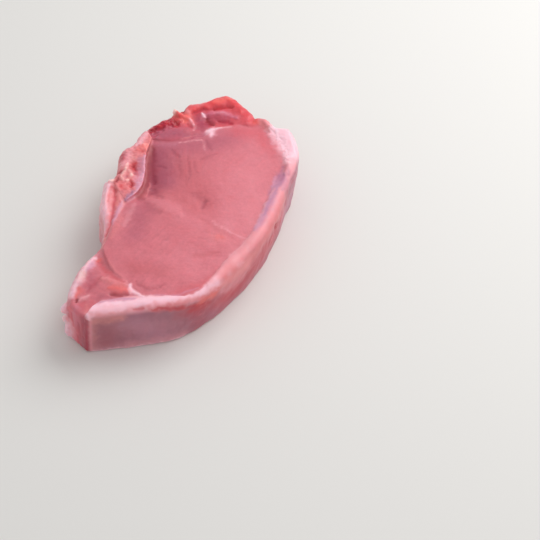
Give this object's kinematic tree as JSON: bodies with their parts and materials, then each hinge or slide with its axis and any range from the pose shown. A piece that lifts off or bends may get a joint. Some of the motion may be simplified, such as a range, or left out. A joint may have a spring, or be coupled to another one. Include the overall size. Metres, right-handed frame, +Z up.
{
  "type": "raw veal chop",
  "caption": "Thick raw veal loin chop lying flat: a pale pink eye of lean meat with a fat rim, a sawn piece of backbone, a cap muscle and a tapering tail.",
  "frame": {"origin": "on the surface the chop lies on, under the middle of its box", "axes": "+Z up through the slice's thickness, +Y along the chop from its tail to its cap, +X from the bone side to the rim of fat"},
  "size_m": [0.0878, 0.152, 0.0285],
  "materials": {
    "lean_meat": "satin",
    "rim_fat": "satin",
    "cap_meat": "satin",
    "sawn_bone": "satin",
    "red_marrow": "satin",
    "sinew": "satin",
    "tail_meat": "satin"
  },
  "bodies": {
    "root": {"eye_muscle": "lean_meat", "fat_rim": "rim_fat", "cap_muscle": "cap_meat", "vertebra_bone": "sawn_bone", "feather_bone": "red_marrow", "rib_strip": "sinew", "tail_muscle": "tail_meat"}
  },
  "joints": []
}
